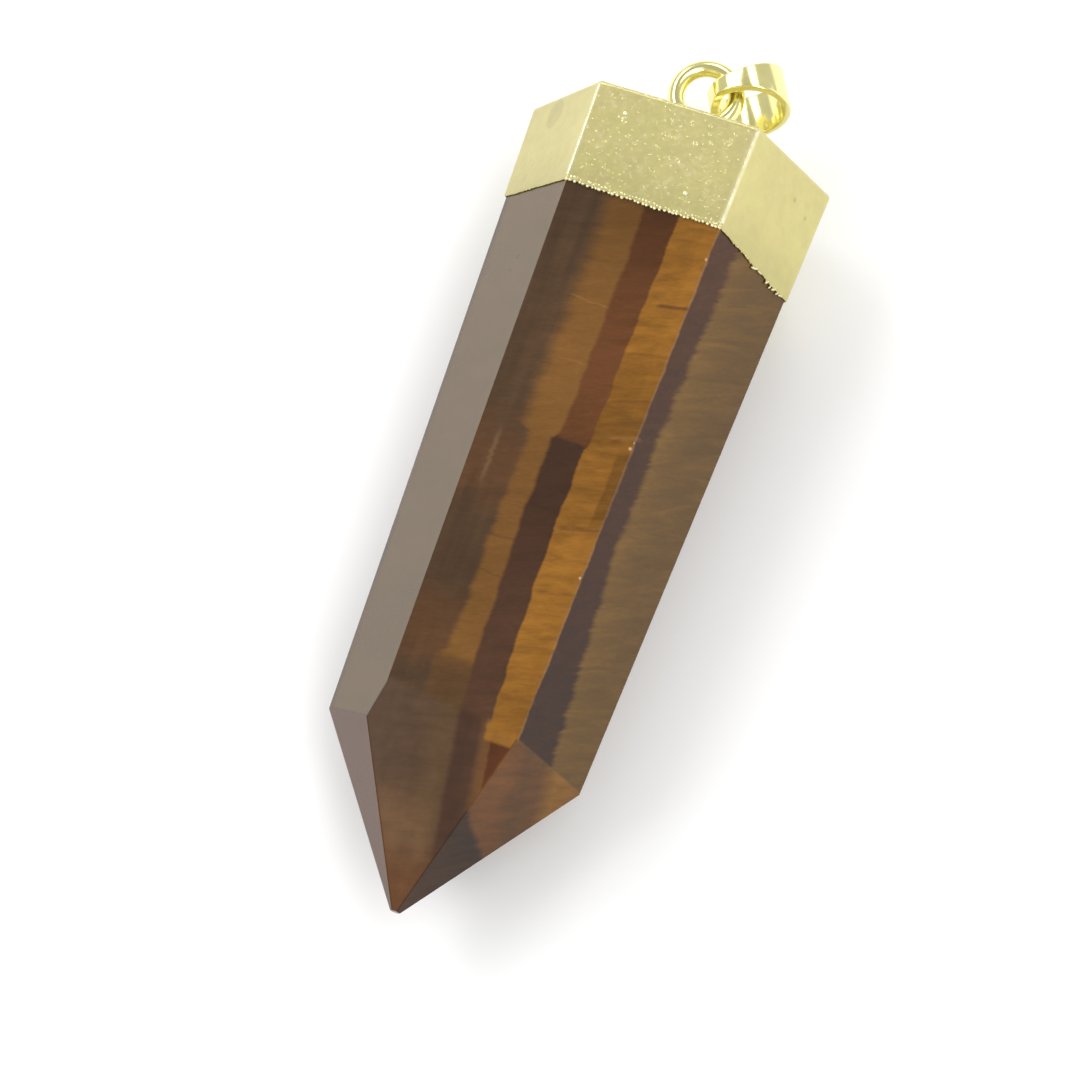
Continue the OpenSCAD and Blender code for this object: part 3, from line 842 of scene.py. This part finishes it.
def eyelet_distance(p, solder):
    """Distance of points from the eyelet's surface, with the solder rounding the join; negative inside"""
    x, y, z = p[:, 0] - RING_CENTRE[0], p[:, 1], p[:, 2]
    ring = np.hypot(np.hypot(x, y - RING_CENTRE[1]) - RING_R, z) - WIRE_R
    top = RING_CENTRE[1] - RING_R
    side = np.hypot(x, z) - NECK_R
    end = np.abs(y - (top + PEG_END) / 2) - (top - PEG_END) / 2
    both = np.minimum(np.maximum(side, end), 0) + np.hypot(np.maximum(side, 0), np.maximum(end, 0))
    h = np.clip(0.5 + 0.5 * (both - ring) / solder, 0, 1)
    return both * (1 - h) + ring * h - solder * h * (1 - h)


class PENDANT_OT_eyelet(bpy.types.Operator):
    """Makes the wire ring with its soldered neck and its peg"""
    bl_idname = "pendant.eyelet"
    bl_label = "Eyelet"

    def execute(self, context):
        look = context.scene.pendant_findings
        shape = bmesh.new()
        bmesh.ops.create_cone(shape, cap_ends=True, segments=48, radius1=NECK_R, radius2=NECK_R,
                              depth=RING_CENTRE[1] - RING_R - PEG_END,
                              matrix=Matrix.Translation((RING_CENTRE[0], (RING_CENTRE[1] - RING_R + PEG_END) / 2, 0))
                              @ Matrix.Rotation(pi / 2, 4, "X"))
        around, along = 32, 96
        rows = []
        for i in range(along):
            turn = 2 * pi * i / along
            rows.append([shape.verts.new((
                RING_CENTRE[0] + (RING_R + WIRE_R * cos(a)) * cos(turn),
                RING_CENTRE[1] + (RING_R + WIRE_R * cos(a)) * sin(turn),
                WIRE_R * sin(a))) for a in (2 * pi * k / around for k in range(around))])
        for i in range(along):
            for k in range(around):
                j, n = (i + 1) % along, (k + 1) % around
                shape.faces.new((rows[i][k], rows[j][k], rows[j][n], rows[i][n]))
        mesh = bpy.data.meshes.new("eyelet_blank")
        shape.to_mesh(mesh)
        shape.free()
        blank = bpy.data.objects.new("eyelet_blank", mesh)
        context.scene.collection.objects.link(blank)
        remesh = blank.modifiers.new("even_mesh", "REMESH")
        remesh.mode = "VOXEL"
        remesh.voxel_size = 0.055
        context.view_layer.update()
        ready = bpy.data.meshes.new_from_object(blank.evaluated_get(context.evaluated_depsgraph_get()))
        bpy.data.objects.remove(blank)
        if len(ready.vertices) < 1000:
            raise RuntimeError("the eyelet's mesh came out empty")
        p = np.zeros(len(ready.vertices) * 3)
        ready.vertices.foreach_get("co", p)
        p = p.reshape(-1, 3)
        solder = look.solder / MM
        tiny = 1e-3
        for _ in range(6):
            d = eyelet_distance(p, solder)
            slope = np.stack([eyelet_distance(p + tiny * e, solder) - eyelet_distance(p - tiny * e, solder)
                              for e in np.eye(3)], 1) / (2 * tiny)
            p = p - slope * (d / np.maximum((slope ** 2).sum(1), 0.2))[:, None]
        faces = [tuple(f.vertices) for f in ready.polygons]
        bpy.data.meshes.remove(ready)
        piece = make_piece("wire_eyelet", p, faces)
        dress(piece, polished_metal(look, "polished_eyelet"), "pendant", "eyelet")
        return {"FINISHED"}


class PENDANT_OT_bail(bpy.types.Operator):
    """Makes the strap bail, a loop that hangs on the eyelet's ring"""
    bl_idname = "pendant.bail"
    bl_label = "Strap Bail"

    def execute(self, context):
        look = context.scene.pendant_findings
        # The loop as (centre along the bail, radius, direction) for each step: most are in the round end
        big, small = round(look.steps * 0.74), round(look.steps * 0.14)
        flank = (look.steps - big - small) // 2
        wide = 90 + FLANK_TURN
        line = [(LOOP_LEN, LOOP_R, -wide + 2 * wide * i / big) for i in range(big + 1)]
        for i in range(1, flank):
            t = i / flank
            line.append((LOOP_LEN * (1 - t), LOOP_R + (END_R - LOOP_R) * t, wide))
        line += [(0, END_R, wide + (360 - 2 * wide) * i / small) for i in range(small + 1)]
        for i in range(1, flank):
            t = i / flank
            line.append((LOOP_LEN * t, END_R + (LOOP_R - END_R) * t, -wide))
        # The strap's section, four rounded corners: right or left, outer or inner, and the rounding's direction
        r = look.rounding / MM
        section = []
        for cx, cy, start in ((1, 1, 0), (0, 1, 90), (0, 0, 180), (1, 0, 270)):
            for k in range(7):
                turn = radians(start + 15 * k)
                section.append((cx, cy, cos(turn), sin(turn)))
        span_from = -END_R - STRAP_T
        span_to = LOOP_LEN + LOOP_R + STRAP_T
        points = []
        for centre, radius, turn in line:
            c, s = cos(radians(turn)), sin(radians(turn))
            for side, level, a, b in section:
                # a and b are the rounding's direction: a across the strap, b out of its face
                high = (STRAP_T - r if level else r) + r * b
                x = centre + (radius + high) * c
                half = (STRAP_END_W + (STRAP_TOP_W - STRAP_END_W)
                        * sin(pi / 2 * min(1, max(0, (x - span_from) / (span_to - span_from))))) / 2
                y = (half - r) * (1 if side else -1) + r * a
                points.append((x, y, (radius + high) * s))
        hang = Matrix.Identity(3)
        for axis, turn in BAIL_TURNS:
            hang = hang @ Matrix.Rotation(radians(turn), 3, axis)
        points = np.array(points) @ np.array(hang).T + np.array(HANG)
        piece = make_piece("strap_bail", points, tube_faces(len(line), len(section)))
        dress(piece, polished_metal(look, "polished_bail"), "bail", "bail")
        return {"FINISHED"}


# ---------------------------------------------------------------- stage

class StageLook(bpy.types.PropertyGroup):
    """The floor, the lights and the surroundings"""
    floor: colour_choice("Floor", "Colour of the pale floor", (0.93, 0.93, 0.93))
    surround: number_choice("Surround", "Brightness of the plain surroundings", 0.62, 0, 3)
    key: number_choice("Key light", "Power of the strip light above the pendant, in watts", 1.6, 0, 50)
    left: number_choice("Left light", "Power of the strip light on the left, in watts", 1.55, 0, 50)
    right: number_choice("Right light", "Power of the low light on the right, in watts", 0.8, 0, 50)
    back: number_choice("Back lights", "Power of the two small lights behind the bail, in watts", 0.4, 0, 20)


def softbox(name, aim, place, along, size, power):
    """A rectangular light at a place, turned towards a point, its length laid in the direction along"""
    light = bpy.data.lights.new(name, "AREA")
    light.shape = "RECTANGLE"
    light.size, light.size_y = size
    light.energy = power
    lamp = bpy.data.objects.new(name, light)
    bpy.context.scene.collection.objects.link(lamp)
    back = (place - aim).normalized()
    side = along.cross(back).normalized()
    lamp.matrix_world = Matrix.Translation(place) @ Matrix((side, back.cross(side), back)).transposed().to_4x4()
    return lamp


class PENDANT_OT_stage(bpy.types.Operator):
    """Makes the pale floor, the soft lights and the camera at the photograph's angle"""
    bl_idname = "pendant.stage"
    bl_label = "Floor, Lights and Camera"

    def execute(self, context):
        look = context.scene.pendant_stage
        scene = context.scene
        size = 3.0
        mesh = bpy.data.meshes.new("floor")
        mesh.from_pydata([(-size, -size, -2e-6), (size, -size, -2e-6), (size, size, -2e-6), (-size, size, -2e-6)],
                         [], [(0, 1, 2, 3)])
        floor = bpy.data.objects.new("floor", mesh)
        scene.collection.objects.link(floor)
        r = Recipe("pale_floor")
        mesh.materials.append(r.finish(Base_Color=(*look.floor, 1.0), Roughness=0.9))

        turn = Matrix.Rotation(LAY_TILT, 3, "X")
        right, up, back = (turn @ Vector(v) for v in (CAMERA_RIGHT, CAMERA_UP, CAMERA_BACK))
        right = (right - back * right.dot(back)).normalized()
        up = back.cross(right)
        camera = bpy.data.cameras.new("photo_camera")
        camera.sensor_width = 36
        camera.lens = CAMERA_LENS
        camera.shift_x, camera.shift_y = CAMERA_SHIFT
        camera.clip_start, camera.clip_end = 0.01, 10
        holder = bpy.data.objects.new("photo_camera", camera)
        scene.collection.objects.link(holder)
        place = (turn @ Vector(CAMERA_PLACE) + RIM_CENTRE) * MM
        axes = Matrix((right, up, back)).transposed().to_4x4()
        holder.matrix_world = Matrix.Translation(place) @ axes
        scene.camera = holder

        aim = Vector((0.0, 0.01, 0.008))
        for name, side, lift, power, width, length in (
                ("key_strip", 14, -4, look.key, 0.22, 0.8), ("left_strip", -42, 22, look.left, 0.18, 0.6),
                ("right_fill", 74, 6, look.right, 0.34, 0.9), ("back_left", -52, 58, look.back, 0.17, 0.24),
                ("back_right", 22, 65, look.back, 0.16, 0.26)):
            around, above = radians(side), radians(lift)
            way = (right * sin(around) + back * cos(around)) * cos(above) + up * sin(above)
            softbox(name, aim, aim + way * 0.6, up, (width, length), power)
        world = bpy.data.worlds.new("studio")
        scene.world = world
        world.use_nodes = True
        tree = world.node_tree
        backdrop = tree.nodes["Background"]
        backdrop.inputs[0].default_value = (1, 1, 1, 1)
        # The surroundings are dimmer straight above, which the front face and the cap's front reflect
        place = tree.nodes.new("ShaderNodeTexCoord")
        above = tree.nodes.new("ShaderNodeVectorMath")
        above.operation = "DOT_PRODUCT"
        above.inputs[1].default_value = Vector((-0.139, 0.173, 0.975)).normalized()
        dim = tree.nodes.new("ShaderNodeMapRange")
        dim.interpolation_type = "SMOOTHSTEP"
        for i, value in ((1, 0.72), (2, 0.95), (3, look.surround), (4, look.surround * 0.74)):
            dim.inputs[i].default_value = value
        tree.links.new(place.outputs["Generated"], above.inputs[0])
        tree.links.new(above.outputs["Value"], dim.inputs[0])
        tree.links.new(dim.outputs[0], backdrop.inputs[1])
        scene.view_settings.view_transform = "Standard"
        return {"FINISHED"}


# ---------------------------------------------------------------- panel and start

STEPS = (PENDANT_OT_stone, PENDANT_OT_cap, PENDANT_OT_eyelet, PENDANT_OT_bail, PENDANT_OT_stage)
LOOKS = {"pendant_stone": TigersEyeLook, "pendant_cap": CapLook, "pendant_findings": FindingsLook,
         "pendant_stage": StageLook}


class PENDANT_PT_panel(bpy.types.Panel):
    """Lists the pendant's pieces with their sizes and colours"""
    bl_idname = "PENDANT_PT_panel"
    bl_label = "Crystal Point Pendant"
    bl_space_type = "VIEW_3D"
    bl_region_type = "UI"
    bl_category = "Pendant"

    def draw(self, context):
        for name, look in LOOKS.items():
            box = self.layout.box()
            for key in look.__annotations__:
                box.prop(getattr(context.scene, name), key)
        for step in STEPS:
            self.layout.operator(step.bl_idname)


CLASSES = (*LOOKS.values(), *STEPS, PENDANT_PT_panel)


def register():
    for cls in CLASSES:
        bpy.utils.register_class(cls)
    for name, look in LOOKS.items():
        setattr(bpy.types.Scene, name, PointerProperty(type=look))


def unregister():
    for name in LOOKS:
        delattr(bpy.types.Scene, name)
    for cls in reversed(CLASSES):
        bpy.utils.unregister_class(cls)


def main():
    register()
    bpy.ops.pendant.stone()
    bpy.ops.pendant.cap()
    bpy.ops.pendant.eyelet()
    bpy.ops.pendant.bail()
    bpy.ops.pendant.stage()


if __name__ == "__main__":
    main()
